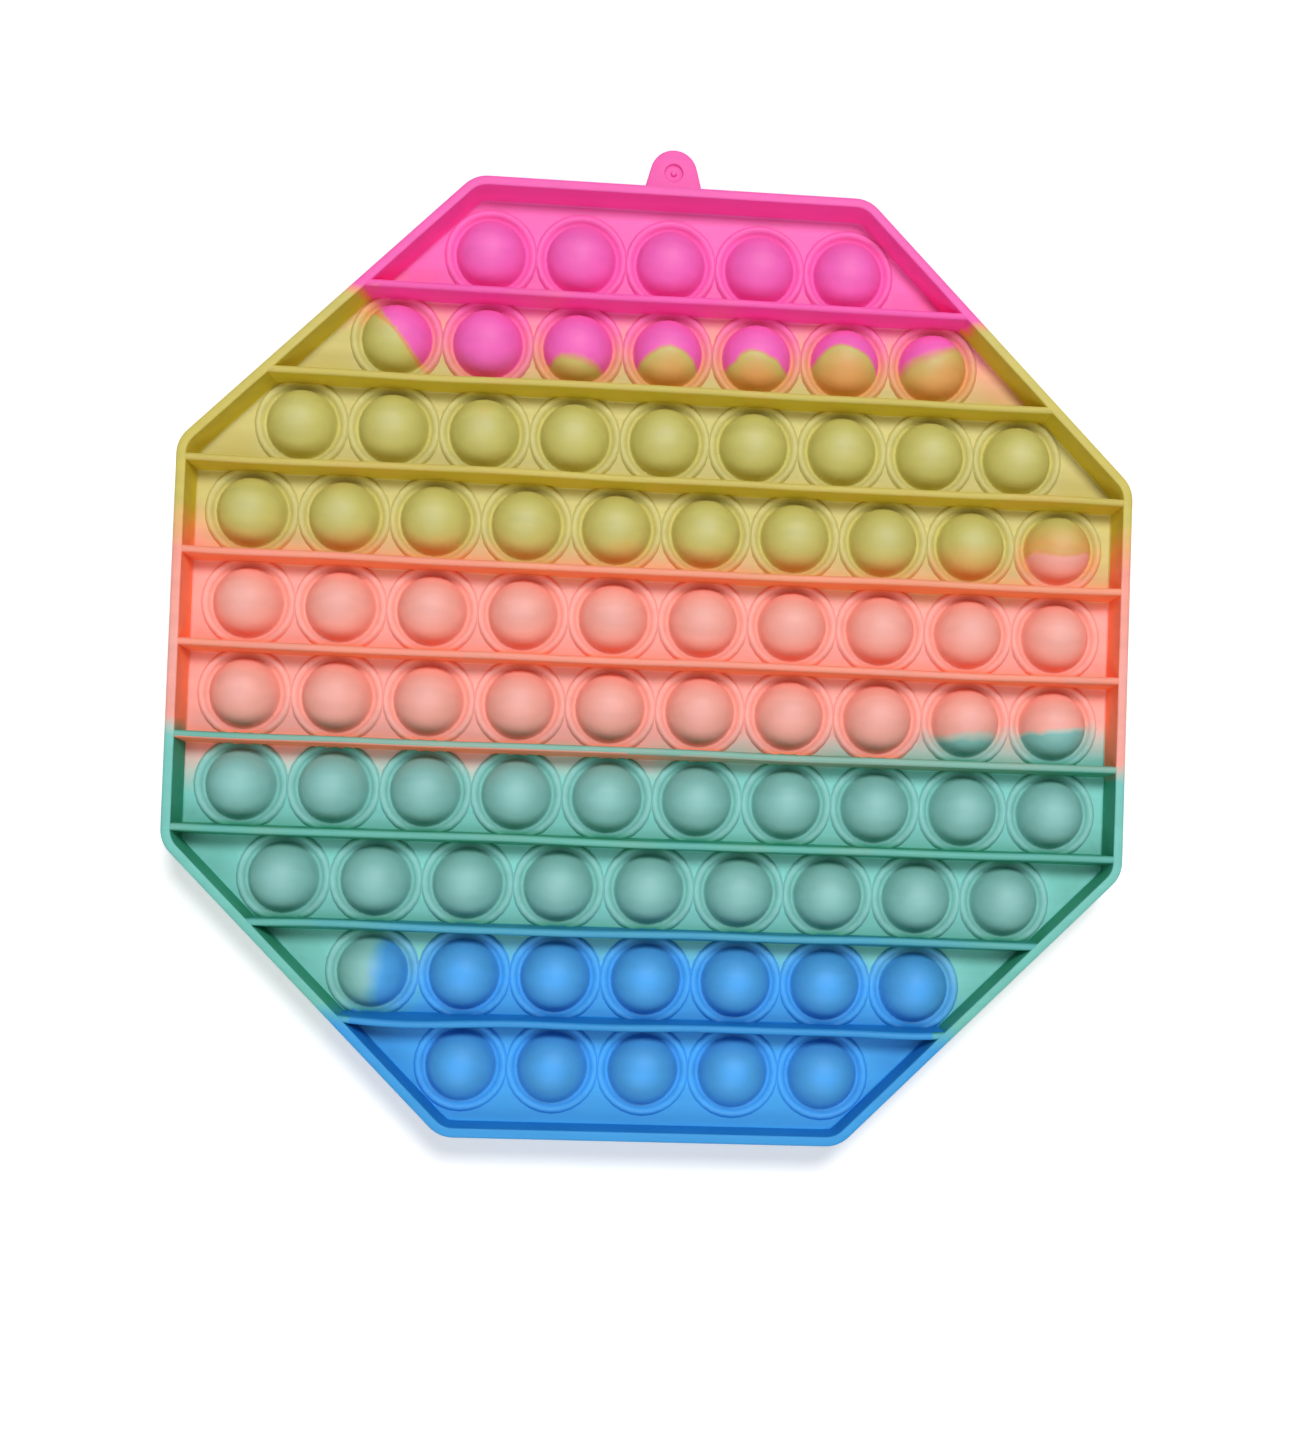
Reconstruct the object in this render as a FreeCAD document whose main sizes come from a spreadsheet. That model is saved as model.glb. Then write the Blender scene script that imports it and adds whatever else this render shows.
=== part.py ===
import FreeCAD, Part
import math
import os
import Sketcher

V = FreeCAD.Vector
NODE = "bubble_mat"

# An octagonal bubble mat, moulded in one piece of silicone rubber. A thin web lies at half its thickness.
# Rows of hollow domes stand on the web, with straight ribs between the rows and a rim all round.
# Millimetres and degrees. +Z up, domes up, tab towards +Y, origin on the rest plane at the octagon's centre.
SIZES = {
    "rows": 10,
    "overall_thickness": 15.0,
    "web_thickness": 1.6,
    "dome_radius": 7.2,
    "dome_drop": 0.5,
    "dome_wall": 0.9,
    "hinge_width": 0.7,
    "hinge_thickness": 0.8,
    "bead_width": 1.35,
    "bead_height": 0.8,
    "bead_slope": 0.2,
    "bead_gap": 0.5,
    "rib_top_width": 1.6,
    "rib_draft": 2.5,
    "rim_gap": 2.5,
    "least_rim_gap": 0.3,
    "rim_top_width": 2.2,
    "rim_draft": 5.0,
    "outer_draft": 1.0,
    "rim_edge_radius": 0.6,
    "corner_radius": 7.0,
    "tab_end_radius": 5.0,
    "tab_reach": 10.5,
    "tab_flare": 15.0,
    "tab_fillet": 3.0,
    "tab_thickness": 2.4,
    "dimple_radius": 1.9,
    "dimple_depth": 0.6,
    "pip_radius": 0.6,
}

doc = FreeCAD.newDocument(NODE)
sheet = doc.addObject("Spreadsheet::Sheet", "sizes")
for line, (alias, value) in enumerate(SIZES.items(), start=1):
    sheet.set(f"A{line}", alias)
    sheet.set(f"B{line}", str(value))
    sheet.setAlias(f"B{line}", alias)
doc.recompute()

# Sizes that follow from the sheet, as expressions on its cells
BEAD_IN = "(sizes.dome_radius + sizes.hinge_width)"
BEAD_OUT = f"({BEAD_IN} + sizes.bead_width)"
PITCH = f"(2 * {BEAD_OUT} + sizes.bead_gap)"
HALF_THICKNESS = "(sizes.overall_thickness / 2)"
HALF_WEB = "(sizes.web_thickness / 2)"
HALF_HINGE = "(sizes.hinge_thickness / 2)"
DOME_TOP = f"({HALF_THICKNESS} - sizes.dome_drop)"
BEAD_TOP = f"({HALF_WEB} + sizes.bead_height)"
TRAY_DEPTH = f"({HALF_THICKNESS} - {HALF_WEB})"
RIM_FOOT = f"(sizes.rim_top_width + {TRAY_DEPTH} * tan(sizes.rim_draft * 1deg))"
HALF_ACROSS = f"((sizes.rows - 1) / 2 * {PITCH} + {BEAD_OUT} + sizes.rim_gap + {RIM_FOOT})"
RIM_MIDDLE = f"({HALF_ACROSS} - sizes.rim_top_width / 2)"
HALF_RIB_TOP = "(sizes.rib_top_width / 2)"
HALF_RIB_FOOT = f"({HALF_RIB_TOP} + {HALF_THICKNESS} * tan(sizes.rib_draft * 1deg))"
TAB_CENTRE = f"({HALF_ACROSS} + sizes.tab_reach - sizes.tab_end_radius)"


def worked_out(expression):
    result = sheet.evalExpression(expression)
    return float(getattr(result, "Value", result))


def size(alias):
    return worked_out(f"sizes.{alias}")


def add_sketch(body, name, role, height="0"):
    """A sketch on one of the body's own origin planes, raised by height."""
    sketch = body.newObject("Sketcher::SketchObject", name)
    plane = next(feature for feature in body.Origin.OriginFeatures if feature.Role == role)
    sketch.AttachmentSupport = [(plane, "")]
    sketch.MapMode = "FlatFace"
    sketch.setExpression("AttachmentOffset.Base.z", height)
    return sketch


def add_rules(sketch, rules):
    for rule in rules:
        sketch.addConstraint(Sketcher.Constraint(*rule))


def bind(sketch, expression, *rule):
    """A dimension whose value stays bound to an expression on the sheet."""
    index = sketch.addConstraint(Sketcher.Constraint(*rule, worked_out(expression)))
    sketch.setExpression(f"Constraints[{index}]", expression)


def bind_angle(sketch, expression, line):
    index = sketch.addConstraint(Sketcher.Constraint("Angle", line, math.radians(worked_out(expression))))
    sketch.setExpression(f"Constraints[{index}]", f"({expression}) * 1deg")


def bind_point(sketch, x, y, geometry, end):
    bind(sketch, x, "DistanceX", -1, 1, geometry, end)
    bind(sketch, y, "DistanceY", -1, 1, geometry, end)


def add_line(sketch, start, end):
    return sketch.addGeometry(Part.LineSegment(start, end), False)


def add_arc(sketch, centre, radius, start_angle, end_angle):
    circle = Part.Circle(centre, V(0, 0, 1), radius)
    return sketch.addGeometry(Part.ArcOfCircle(circle, start_angle, end_angle), False)


def add_polygon(sketch, corners):
    points = [V(worked_out(x), worked_out(y), 0) for x, y in corners]
    for start, end in zip(points, points[1:] + points[:1]):
        add_line(sketch, start, end)
    for index, (x, y) in enumerate(corners):
        add_rules(sketch, [("Coincident", (index - 1) % len(corners), 2, index, 1)])
        bind_point(sketch, x, y, index, 1)


def add_round_octagon(sketch, half_across, radius):
    """Eight sides at one distance from the origin, each followed by a tangent corner arc."""
    reach, bend = worked_out(half_across), worked_out(radius)
    half_straight = (reach - bend) * math.tan(math.pi / 8)
    for side in range(8):
        turn = side * math.pi / 4
        normal = V(math.cos(turn), math.sin(turn), 0)
        along = V(-normal.y, normal.x, 0) * half_straight
        add_line(sketch, normal * reach - along, normal * reach + along)
        add_arc(sketch, normal * (reach - bend) + along, bend, turn, turn + math.pi / 4)
    for line in range(0, 16, 2):
        corner = line + 1
        add_rules(sketch, [
            ("Tangent", line, 2, corner, 1),
            ("Tangent", corner, 2, (line + 2) % 16, 1),
        ])
        bind(sketch, half_across, "Distance", -1, 1, line)
        bind(sketch, radius, "Radius", corner)
    add_rules(sketch, [
        ("Vertical", 0),
        ("Horizontal", 4),
        ("Vertical", 8),
        ("Horizontal", 12),
        ("Parallel", 2, 10),
        ("Parallel", 6, 14),
        ("Perpendicular", 2, 6),
    ])
    bind_angle(sketch, "135", 2)


def add_feature(body, kind, name, sketch, length, taper="0", side="One side", reversed_way=False):
    """A pad or pocket. Its flush faces are merged once, on the finished moulding."""
    feature = body.newObject(f"PartDesign::{kind}", name)
    feature.Profile = sketch
    feature.SideType = side
    feature.Reversed = reversed_way
    feature.Refine = False
    feature.setExpression("Length", length)
    feature.setExpression("TaperAngle", f"({taper}) * 1deg")
    return feature


# The rim starts as a block with drafted outer walls and softened edges, widest at the mould's parting line.
# It is hollowed from both faces down to the web.
frame = doc.addObject("PartDesign::Body", "frame")
outline = add_sketch(frame, "outline", "XY_Plane", HALF_THICKNESS)
add_round_octagon(outline, HALF_ACROSS, "sizes.corner_radius")
add_feature(frame, "Pad", "upper_block", outline, HALF_THICKNESS, "-sizes.outer_draft")
block = add_feature(
    frame, "Pad", "lower_block", outline, HALF_THICKNESS, "-sizes.outer_draft", reversed_way=True
)
doc.recompute()

thickness = size("overall_thickness")
rim_edges = [
    f"Edge{number}"
    for number, edge in enumerate(block.Shape.Edges, start=1)
    if all(min(abs(end.Z), abs(end.Z - thickness)) < 0.001 for end in edge.Vertexes)
]
softened_block = frame.newObject("PartDesign::Fillet", "softened_block")
softened_block.Base = (block, rim_edges)
softened_block.setExpression("Radius", "sizes.rim_edge_radius")
doc.recompute()

for face, height, upwards in (("upper", "sizes.overall_thickness", False), ("lower", "0", True)):
    mouth = add_sketch(frame, f"{face}_tray_mouth", "XY_Plane", height)
    add_round_octagon(
        mouth, f"{HALF_ACROSS} - sizes.rim_top_width", "sizes.corner_radius - sizes.rim_top_width"
    )
    add_feature(
        frame, "Pocket", f"{face}_tray", mouth, TRAY_DEPTH, "-sizes.rim_draft", reversed_way=upwards
    )
doc.recompute()

# Straight ribs part the rows on both faces. Each is widest at the web and runs into the rim at its ends.
for rib in range(1, int(size("rows"))):
    middle = f"(sizes.rows / 2 - {rib}) * {PITCH}"
    section = add_sketch(frame, f"rib_section_{rib}", "YZ_Plane")
    add_polygon(section, [
        (f"{middle} - {HALF_RIB_TOP}", "0"),
        (f"{middle} + {HALF_RIB_TOP}", "0"),
        (f"{middle} + {HALF_RIB_FOOT}", HALF_THICKNESS),
        (f"{middle} + {HALF_RIB_TOP}", "sizes.overall_thickness"),
        (f"{middle} - {HALF_RIB_TOP}", "sizes.overall_thickness"),
        (f"{middle} - {HALF_RIB_FOOT}", HALF_THICKNESS),
    ])
    reach = f"2 * min({RIM_MIDDLE}; sqrt(2) * {RIM_MIDDLE} - abs({middle}))"
    add_feature(frame, "Pad", f"rib_{rib}", section, reach, side="Symmetric")
doc.recompute()

# The tab is a flat tongue at half the thickness. Its end is round, and its flared sides blend into the rim.
end_radius = size("tab_end_radius")
blend = size("tab_fillet")
flare = math.radians(size("tab_flare"))
wall = worked_out(HALF_ACROSS)
root = worked_out(RIM_MIDDLE)
tab_centre = V(0, worked_out(TAB_CENTRE), 0)
side_normal = V(math.cos(flare), math.sin(flare), 0)
blend_x = (blend + end_radius + (tab_centre.y - wall - blend) * side_normal.y) / side_normal.x
blend_centre = V(blend_x, wall + blend, 0)
side_foot = blend_centre - side_normal * blend
side_top = tab_centre + side_normal * end_radius


def mirrored(point):
    return V(-point.x, point.y, 0)


tongue = add_sketch(frame, "tab_outline", "XY_Plane", HALF_THICKNESS)
base = add_line(tongue, V(-blend_x, root, 0), V(blend_x, root, 0))
right_root = add_line(tongue, V(blend_x, root, 0), V(blend_x, wall, 0))
right_blend = add_arc(tongue, blend_centre, blend, math.pi + flare, 1.5 * math.pi)
right_side = add_line(tongue, side_foot, side_top)
tab_end = add_arc(tongue, tab_centre, end_radius, flare, math.pi - flare)
left_side = add_line(tongue, mirrored(side_top), mirrored(side_foot))
left_blend = add_arc(tongue, mirrored(blend_centre), blend, 1.5 * math.pi, 2 * math.pi - flare)
left_root = add_line(tongue, V(-blend_x, wall, 0), V(-blend_x, root, 0))
add_rules(tongue, [
    ("Coincident", base, 2, right_root, 1),
    ("Coincident", right_root, 2, right_blend, 2),
    ("Tangent", right_blend, 1, right_side, 1),
    ("Tangent", right_side, 2, tab_end, 1),
    ("Tangent", tab_end, 2, left_side, 1),
    ("Tangent", left_side, 2, left_blend, 2),
    ("Coincident", left_blend, 1, left_root, 1),
    ("Coincident", left_root, 2, base, 1),
    ("Horizontal", base),
    ("Vertical", right_root),
    ("Vertical", left_root),
    ("Vertical", right_root, 2, right_blend, 3),
    ("Vertical", left_root, 1, left_blend, 3),
    ("Horizontal", tab_end, 1, tab_end, 2),
    ("PointOnObject", tab_end, 3, -2),
])
bind(tongue, "sizes.tab_fillet", "Radius", right_blend)
bind(tongue, "sizes.tab_fillet", "Radius", left_blend)
bind(tongue, "sizes.tab_end_radius", "Radius", tab_end)
bind(tongue, TAB_CENTRE, "DistanceY", -1, 1, tab_end, 3)
bind(tongue, HALF_ACROSS, "DistanceY", -1, 1, right_root, 2)
bind(tongue, HALF_ACROSS, "DistanceY", -1, 1, left_root, 1)
bind(tongue, RIM_MIDDLE, "DistanceY", -1, 1, base, 1)
bind_angle(tongue, "90 + sizes.tab_flare", right_side)
add_feature(frame, "Pad", "tab", tongue, "sizes.tab_thickness", side="Symmetric")

# A blind round dimple, with a pip in its middle, marks where a hanging hole could be pierced
dimple = add_sketch(frame, "dimple_outline", "XY_Plane", f"{HALF_THICKNESS} + sizes.tab_thickness / 2")
for radius in ("sizes.dimple_radius", "sizes.pip_radius"):
    ring = dimple.addGeometry(Part.Circle(tab_centre, V(0, 0, 1), worked_out(radius)), False)
    bind(dimple, radius, "Radius", ring)
    bind(dimple, TAB_CENTRE, "DistanceY", -1, 1, ring, 3)
    add_rules(dimple, [("PointOnObject", ring, 3, -2)])
add_feature(frame, "Pocket", "dimple", dimple, "sizes.dimple_depth")
doc.recompute()

# One bubble, turned about its own axis, with its heights counted from the middle of the web.
# A thin dome, hollow from below, stands on a thin hinge ring inside a bead that is raised on both faces.
apex = worked_out(DOME_TOP)
hinge_top = worked_out(HALF_HINGE)
dome_height = apex - hinge_top
sphere_radius = (size("dome_radius") ** 2 + dome_height ** 2) / (2 * dome_height)
sphere_centre = V(0, apex - sphere_radius, 0)
hollow_sphere_radius = sphere_radius - size("dome_wall")
dome_start = math.asin((hinge_top - sphere_centre.y) / sphere_radius)
hollow_start = math.asin((-hinge_top - sphere_centre.y) / hollow_sphere_radius)
hollow_foot = V(hollow_sphere_radius * math.cos(hollow_start), -hinge_top, 0)

bubble = doc.addObject("PartDesign::Body", "bubble")
profile = add_sketch(bubble, "bubble_profile", "XZ_Plane")
ring_corners = [
    ("sizes.dome_radius", HALF_HINGE),
    (BEAD_IN, HALF_HINGE),
    (f"{BEAD_IN} + sizes.bead_slope", BEAD_TOP),
    (f"{BEAD_OUT} - sizes.bead_slope", BEAD_TOP),
    (BEAD_OUT, "0"),
    (f"{BEAD_OUT} - sizes.bead_slope", f"-{BEAD_TOP}"),
    (f"{BEAD_IN} + sizes.bead_slope", f"-{BEAD_TOP}"),
    (BEAD_IN, f"-{HALF_HINGE}"),
]
ring_points = [V(worked_out(x), worked_out(y), 0) for x, y in ring_corners] + [hollow_foot]
ring_lines = [add_line(profile, start, end) for start, end in zip(ring_points, ring_points[1:])]
for before, after in zip(ring_lines, ring_lines[1:]):
    add_rules(profile, [("Coincident", before, 2, after, 1)])
for line, (x, y) in zip(ring_lines, ring_corners):
    bind_point(profile, x, y, line, 1)
outer_arc = add_arc(profile, sphere_centre, sphere_radius, dome_start, math.pi / 2)
hollow_arc = add_arc(profile, sphere_centre, hollow_sphere_radius, hollow_start, math.pi / 2)
axis_line = add_line(profile, V(0, apex - size("dome_wall"), 0), V(0, apex, 0))
add_rules(profile, [
    ("Coincident", outer_arc, 1, ring_lines[0], 1),
    ("Coincident", outer_arc, 2, axis_line, 2),
    ("Coincident", hollow_arc, 1, ring_lines[-1], 2),
    ("Coincident", hollow_arc, 2, axis_line, 1),
    ("Coincident", outer_arc, 3, hollow_arc, 3),
    ("PointOnObject", outer_arc, 3, -2),
    ("PointOnObject", outer_arc, 2, -2),
    ("PointOnObject", hollow_arc, 2, -2),
])
bind(profile, DOME_TOP, "DistanceY", -1, 1, outer_arc, 2)
bind(profile, f"{DOME_TOP} - sizes.dome_wall", "DistanceY", -1, 1, hollow_arc, 2)
bind(profile, f"-{HALF_HINGE}", "DistanceY", -1, 1, ring_lines[-1], 2)
turned_bubble = bubble.newObject("PartDesign::Revolution", "turned_bubble")
turned_bubble.Profile = profile
turned_bubble.ReferenceAxis = (profile, ["V_Axis"])
turned_bubble.Angle = 360
doc.recompute()

# Each row holds as many bubbles as fit between the feet of the rim, centred and a pitch apart
pitch = worked_out(PITCH)
reach = worked_out(f"{HALF_ACROSS} - {RIM_FOOT} - sizes.least_rim_gap - {BEAD_OUT}")
centres = []
for row in range(int(size("rows"))):
    y = ((size("rows") - 1) / 2 - row) * pitch
    half_row = min(reach, math.sqrt(2) * reach - abs(y))
    count = math.floor(2 * half_row / pitch) + 1
    centres += [V((column - (count - 1) / 2) * pitch, y, thickness / 2) for column in range(count)]
bubble_field = doc.addObject("Part::Feature", "bubble_field")
bubble_field.Shape = Part.makeCompound([turned_bubble.Shape.translated(centre) for centre in centres])

# The web is pierced under the middle of each bead, and the bubbles close the holes again
web = size("web_thickness")
hole_radius = worked_out(f"{BEAD_IN} + sizes.bead_width / 2")
web_holes = doc.addObject("Part::Feature", "web_holes")
web_holes.Shape = Part.makeCompound(
    [Part.makeCylinder(hole_radius, web, centre - V(0, 0, web / 2)) for centre in centres]
)
pierced_frame = doc.addObject("Part::Cut", "pierced_frame")
pierced_frame.Base = frame
pierced_frame.Tool = web_holes
moulding = doc.addObject("Part::Fuse", "moulding")
moulding.Base = pierced_frame
moulding.Tool = bubble_field
moulding.Refine = True
moulding.Label = NODE
doc.recompute()

# Nothing is written unless every feature worked and the moulding is one sound solid
for thing in doc.Objects:
    if "Invalid" in thing.State or "Error" in thing.State:
        raise RuntimeError(f"{thing.Label} failed: {thing.State}")
if moulding.Shape.isNull() or not moulding.Shape.isValid() or len(moulding.Shape.Solids) != 1:
    raise RuntimeError(f"{NODE} isn't one sound solid")
print(NODE, len(centres), "bubbles,", len(moulding.Shape.Faces), "faces,", round(moulding.Shape.Volume), "mm3")

os.makedirs("parts", exist_ok=True)
moulding.Shape.exportStep(f"parts/{moulding.Label}.step")
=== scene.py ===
import math

import bpy
import numpy as np
from mathutils import Matrix, Vector, geometry


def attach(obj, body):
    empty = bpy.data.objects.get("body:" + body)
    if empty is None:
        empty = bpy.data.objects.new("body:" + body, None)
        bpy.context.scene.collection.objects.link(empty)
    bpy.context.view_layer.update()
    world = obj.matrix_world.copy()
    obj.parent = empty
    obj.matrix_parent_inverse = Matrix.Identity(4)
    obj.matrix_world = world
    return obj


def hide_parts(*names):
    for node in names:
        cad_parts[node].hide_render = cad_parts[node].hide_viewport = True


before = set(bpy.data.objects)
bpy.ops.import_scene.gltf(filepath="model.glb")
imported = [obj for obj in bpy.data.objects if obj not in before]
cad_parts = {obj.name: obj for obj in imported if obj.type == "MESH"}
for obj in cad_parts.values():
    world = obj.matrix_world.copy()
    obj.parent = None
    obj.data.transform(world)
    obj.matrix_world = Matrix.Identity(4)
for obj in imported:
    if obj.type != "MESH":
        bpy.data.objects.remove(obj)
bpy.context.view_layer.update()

# The web is a sheet of silicone rubber at half the mat's thickness. It carries ten rows of bubbles, each a thin
# dome on a thinner hinge ring inside a raised bead, so that it snaps through to the other face. It was moulded
# in one with all that follows. Sizes are in millimetres, and heights are from the middle of the thickness.
BUBBLES_IN_ROW = [5, 7, 9, 10, 10, 10, 10, 9, 7, 5]
PITCH = 19.0
HALF_THICKNESS = 7.5
HALF_WEB = 0.8
BEAD_TOP = 1.6
FOOT_RADIUS = 9.88
DOME_RADIUS = 7.34
HOLLOW_RADIUS = 6.44
DOME_CENTRE = -0.34
HALF_ACROSS = 100.03
CORNER_RADIUS = 7.0
WEB_EDGE_IN_RIM = 1.1
BUBBLE_SIDES = 28
HALF_BEAD_GAP = 0.03
GAP_GROWTH = 0.35
MEETING_RISE = 1.3

bubble_centres = [
    (row, column, (column - (count - 1) / 2) * PITCH, (4.5 - row) * PITCH)
    for row, count in enumerate(BUBBLES_IN_ROW)
    for column in range(count)
]


def arc(across, height, radius, start, end, steps):
    """Points of an arc in a section, from one angle to another in degrees."""
    turns = [math.radians(start + (end - start) * step / steps) for step in range(steps + 1)]
    return [(across + radius * math.cos(turn), height + radius * math.sin(turn)) for turn in turns]


def circle(x, y, radius, sides):
    """Points round a circle, anticlockwise from its right."""
    turns = [2 * math.pi * side / sides for side in range(sides)]
    return [(x + radius * math.cos(turn), y + radius * math.sin(turn)) for turn in turns]


def octagon(inset, corner_steps=6, side_steps=10):
    """The rim's outline, moved inwards: straight sides and round corners about fixed centres."""
    half_side = (HALF_ACROSS - CORNER_RADIUS) * math.tan(math.pi / 8)
    loop = []
    for side in range(8):
        turn = side * math.pi / 4
        normal = Vector((math.cos(turn), math.sin(turn)))
        along = Vector((-normal.y, normal.x)) * half_side
        for step in range(side_steps):
            loop.append(normal * (HALF_ACROSS - inset) + along * (2 * step / side_steps - 1))
        centre = normal * (HALF_ACROSS - CORNER_RADIUS) + along
        for step in range(corner_steps):
            bend = turn + math.pi / 4 * step / corner_steps
            loop.append(centre + Vector((math.cos(bend), math.sin(bend))) * (CORNER_RADIUS - inset))
    return [tuple(point) for point in loop]


def inside_loop(point, loop):
    """Whether a point lies inside a closed loop, by how often a line from it crosses the loop."""
    crossings = 0
    for (x1, y1), (x2, y2) in zip(loop, loop[1:] + loop[:1]):
        if (y1 > point[1]) != (y2 > point[1]):
            crossings += point[0] < x1 + (point[1] - y1) * (x2 - x1) / (y2 - y1)
    return crossings % 2 == 1


def bubble_ring(bubble, radius, height):
    """A circle of points round a bubble, cut short by its neighbours and kept high where two beads meet."""
    row, column, x, y = bubble
    most = PITCH / 2 - HALF_BEAD_GAP - GAP_GROWTH * (FOOT_RADIUS - radius)
    left = -most if column > 0 else -radius
    right = most if column < BUBBLES_IN_ROW[row] - 1 else radius
    low = -most if row < 9 else -radius
    high = most if row > 0 else radius
    ring = []
    for across, up in circle(0, 0, radius, BUBBLE_SIDES):
        kept = max(left, min(right, across))
        level = abs(height)
        if kept != across:
            level = min(BEAD_TOP, level + MEETING_RISE * abs(across - kept))
        ring.append((x + kept, y + max(low, min(high, up)), math.copysign(level, height)))
    return ring


def flat_fill(outline, holes):
    """Triangles between an outline and the holes in it, each a loop of points."""
    flat_points, edges = [], []
    for loop in [outline] + holes:
        first = len(flat_points)
        flat_points += [Vector(point) for point in loop]
        edges += [(first + i, first + (i + 1) % len(loop)) for i in range(len(loop))]
    made = geometry.delaunay_2d_cdt(flat_points, edges, [], 0, 1e-6)
    reaches = []
    for hole in holes:
        centre = tuple(np.mean(hole, axis=0))
        reaches.append((centre, max(math.dist(centre, point) for point in hole), hole))
    triangles = []
    for triangle in made[2]:
        middle = sum((made[0][corner] for corner in triangle), Vector((0, 0))) / 3
        in_hole = any(
            math.dist(middle, centre) < reach and inside_loop(middle, hole) for centre, reach, hole in reaches
        )
        if not in_hole and inside_loop(middle, outline):
            triangles.append(tuple(made[3][corner][0] for corner in triangle))
    return [tuple(point) for point in flat_points], triangles


def add_object(name, points, faces):
    """A mesh object in the scene, made of points and faces."""
    mesh = bpy.data.meshes.new(name)
    mesh.from_pydata(points, [], faces)
    mesh.validate()
    thing = bpy.data.objects.new(name, mesh)
    bpy.context.scene.collection.objects.link(thing)
    return thing


# The sections run outwards from the top of the dome: dome, hinge ring, bead, and the bead's foot on the web.
bead = [
    (8.08, 0.9), (8.24, 1.12), (8.42, 1.32), (8.74, 1.52), (9.12, BEAD_TOP),
    (9.46, 1.44), (9.68, 1.1), (FOOT_RADIUS, HALF_WEB),
]
dome = arc(0, DOME_CENTRE, DOME_RADIUS, 79, 13, 7)
hollow = arc(0, DOME_CENTRE, HOLLOW_RADIUS, 74, 4, 4)
front_section = dome + [(7.25, 1.0), (7.38, 0.78), (7.56, 0.68), (7.8, 0.74)] + bead
back_section = hollow + [(6.55, -0.4), (6.75, -0.45), (7.7, -0.6)]
back_section += [(across, -height) for across, height in bead]

bead_feet = [bubble_ring(bubble, FOOT_RADIUS, HALF_WEB) for bubble in bubble_centres]
web_points, web_triangles = flat_fill(
    octagon(WEB_EDGE_IN_RIM), [[(x, y) for x, y, _ in foot] for foot in bead_feet]
)
edge_count = len(web_points) - BUBBLE_SIDES * len(bubble_centres)
flat_count = len(web_points)
points = [(x, y, HALF_WEB) for x, y in web_points[:edge_count]]
points += [point for foot in bead_feet for point in foot]
points += [(x, y, -height) for x, y, height in points]
faces = list(web_triangles)
faces += [tuple(flat_count + corner for corner in reversed(triangle)) for triangle in web_triangles]
for corner in range(edge_count):
    following = (corner + 1) % edge_count
    faces.append((corner, flat_count + corner, flat_count + following, following))
for number, bubble in enumerate(bubble_centres):
    for section, first, apex in (
        (front_section, edge_count, DOME_CENTRE + DOME_RADIUS),
        (back_section, flat_count + edge_count, DOME_CENTRE + HOLLOW_RADIUS),
    ):
        first += number * BUBBLE_SIDES
        rings = [[first + side for side in range(BUBBLE_SIDES)]]
        for radius, height in reversed(section[:-1]):
            rings.append(list(range(len(points), len(points) + BUBBLE_SIDES)))
            points += bubble_ring(bubble, radius, height)
        points.append((bubble[2], bubble[3], apex))
        ring_faces = [
            (outer[side], outer[(side + 1) % BUBBLE_SIDES], inner[(side + 1) % BUBBLE_SIDES], inner[side])
            for outer, inner in zip(rings, rings[1:])
            for side in range(BUBBLE_SIDES)
        ]
        ring_faces += [
            (rings[-1][side], rings[-1][(side + 1) % BUBBLE_SIDES], len(points) - 1)
            for side in range(BUBBLE_SIDES)
        ]
        if section is back_section:
            ring_faces = [tuple(reversed(face)) for face in ring_faces]
        faces += ring_faces
moulding = add_object("bubble_mat_silicone", points, faces)

# The rim is a wall all round the octagon, as tall as the mat is thick, with drafted faces and softened edges.
# The fine line at half its height is where the two halves of the mould closed.
RIM_TOP_WIDTH = 2.2
RIM_DRAFT = math.tan(math.radians(5))
RIM_OUTER_DRAFT = math.tan(math.radians(1))
RIM_OUTER_EDGE = 0.7
RIM_INNER_EDGE = 0.35
FOOT_FILLET = [(0.0, 1.3), (0.1, 1.05), (0.5, 0.6)]
WALL_FOOT = FOOT_FILLET[0][1]

inner_wall_foot = RIM_TOP_WIDTH + (HALF_THICKNESS - WALL_FOOT) * RIM_DRAFT
rim_outer_top = HALF_THICKNESS * RIM_OUTER_DRAFT
rim_upper = [(0.05, 0.1), (0.08, 3.0)]
rim_upper += arc(
    rim_outer_top + RIM_OUTER_EDGE, HALF_THICKNESS - RIM_OUTER_EDGE, RIM_OUTER_EDGE, 180, 90, 4
)
rim_upper += arc(RIM_TOP_WIDTH - RIM_INNER_EDGE, HALF_THICKNESS - RIM_INNER_EDGE, RIM_INNER_EDGE, 90, 0, 3)
rim_upper += [(inner_wall_foot + outwards, height) for outwards, height in FOOT_FILLET]
rim_section = [(0.0, 0.0)] + rim_upper + [(rim_upper[-1][0], 0.0)]
rim_section += [(across, -height) for across, height in reversed(rim_upper)]
rim_loops = [octagon(across) for across, _ in rim_section]
stations = len(rim_loops[0])
points = [
    (loop[station][0], loop[station][1], height)
    for loop, (_, height) in zip(rim_loops, rim_section)
    for station in range(stations)
]
faces = []
for ring in range(len(rim_section)):
    following = (ring + 1) % len(rim_section)
    for station in range(stations):
        ahead = (station + 1) % stations
        faces.append((
            ring * stations + station, ring * stations + ahead,
            following * stations + ahead, following * stations + station,
        ))
rim = add_object("rim", points, faces)

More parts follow.
